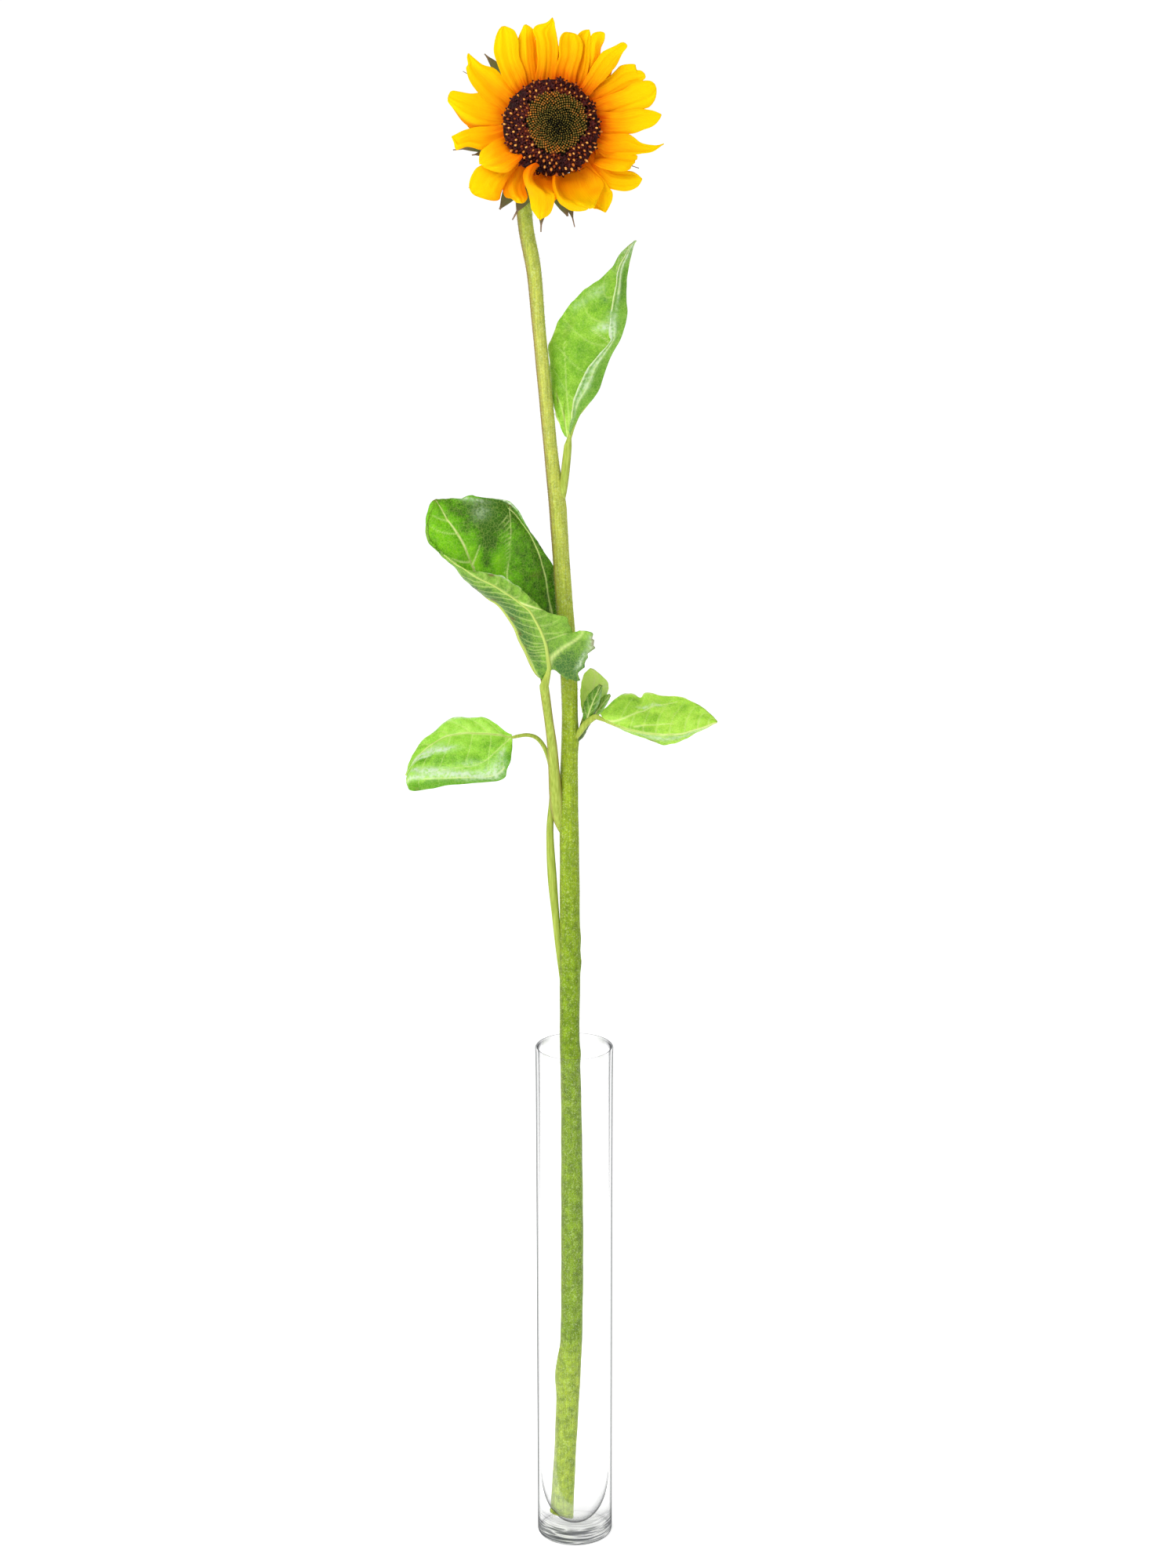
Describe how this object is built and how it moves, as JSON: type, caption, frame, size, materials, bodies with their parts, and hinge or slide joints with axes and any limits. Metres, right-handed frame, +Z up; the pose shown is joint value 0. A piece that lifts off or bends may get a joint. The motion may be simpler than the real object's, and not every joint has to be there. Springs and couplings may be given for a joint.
{
  "type": "cut sunflower in vase",
  "caption": "Cut sunflower on a long leafy stem, standing in a tall narrow clear glass cylinder vase, its head facing forward.",
  "frame": {"origin": "centre of the vase's flat underside, where it stands on a table", "axes": "+Z up the vase and the stem; -Y is the side the flower faces; +X to the right as seen from there"},
  "size_m": [0.1746, 0.0694, 0.8802],
  "materials": {
    "clear_glass": "polished",
    "stem_green": "satin",
    "cup_green": "matte",
    "floret_brown": "matte",
    "petal_yellow": "satin",
    "bract_green": "matte",
    "leaf_green": "satin",
    "shoot_green": "matte"
  },
  "bodies": {
    "root": {"glass_vase": "clear_glass", "stem": "stem_green", "receptacle": "cup_green", "disc": "floret_brown", "petal_01": "petal_yellow", "petal_02": "petal_yellow", "petal_03": "petal_yellow", "petal_04": "petal_yellow", "petal_05": "petal_yellow", "petal_06": "petal_yellow", "petal_07": "petal_yellow", "petal_08": "petal_yellow", "petal_09": "petal_yellow", "petal_10": "petal_yellow", "petal_11": "petal_yellow", "petal_12": "petal_yellow", "petal_13": "petal_yellow", "petal_14": "petal_yellow", "petal_15": "petal_yellow", "petal_16": "petal_yellow", "petal_17": "petal_yellow", "petal_18": "petal_yellow", "petal_19": "petal_yellow", "petal_20": "petal_yellow", "petal_21": "petal_yellow", "petal_22": "petal_yellow", "petal_23": "petal_yellow", "petal_24": "petal_yellow", "petal_25": "petal_yellow", "petal_26": "petal_yellow", "petal_27": "petal_yellow", "petal_28": "petal_yellow", "petal_29": "petal_yellow", "bract_01": "bract_green", "bract_02": "bract_green", "bract_03": "bract_green", "bract_04": "bract_green", "bract_05": "bract_green", "bract_06": "bract_green", "bract_07": "bract_green", "bract_08": "bract_green", "bract_09": "bract_green", "bract_10": "bract_green", "bract_11": "bract_green", "bract_12": "bract_green", "bract_13": "bract_green", "bract_14": "bract_green", "bract_15": "bract_green", "bract_16": "bract_green", "bract_17": "bract_green", "leaf_upper_right": "leaf_green", "leaf_large_left": "leaf_green", "leaf_right": "leaf_green", "leaf_low_left": "leaf_green", "shoot_leaf_back": "leaf_green", "shoot_bud": "shoot_green", "shoot_leaf_front": "shoot_green", "shoot_leaf_side": "shoot_green"}
  },
  "joints": []
}
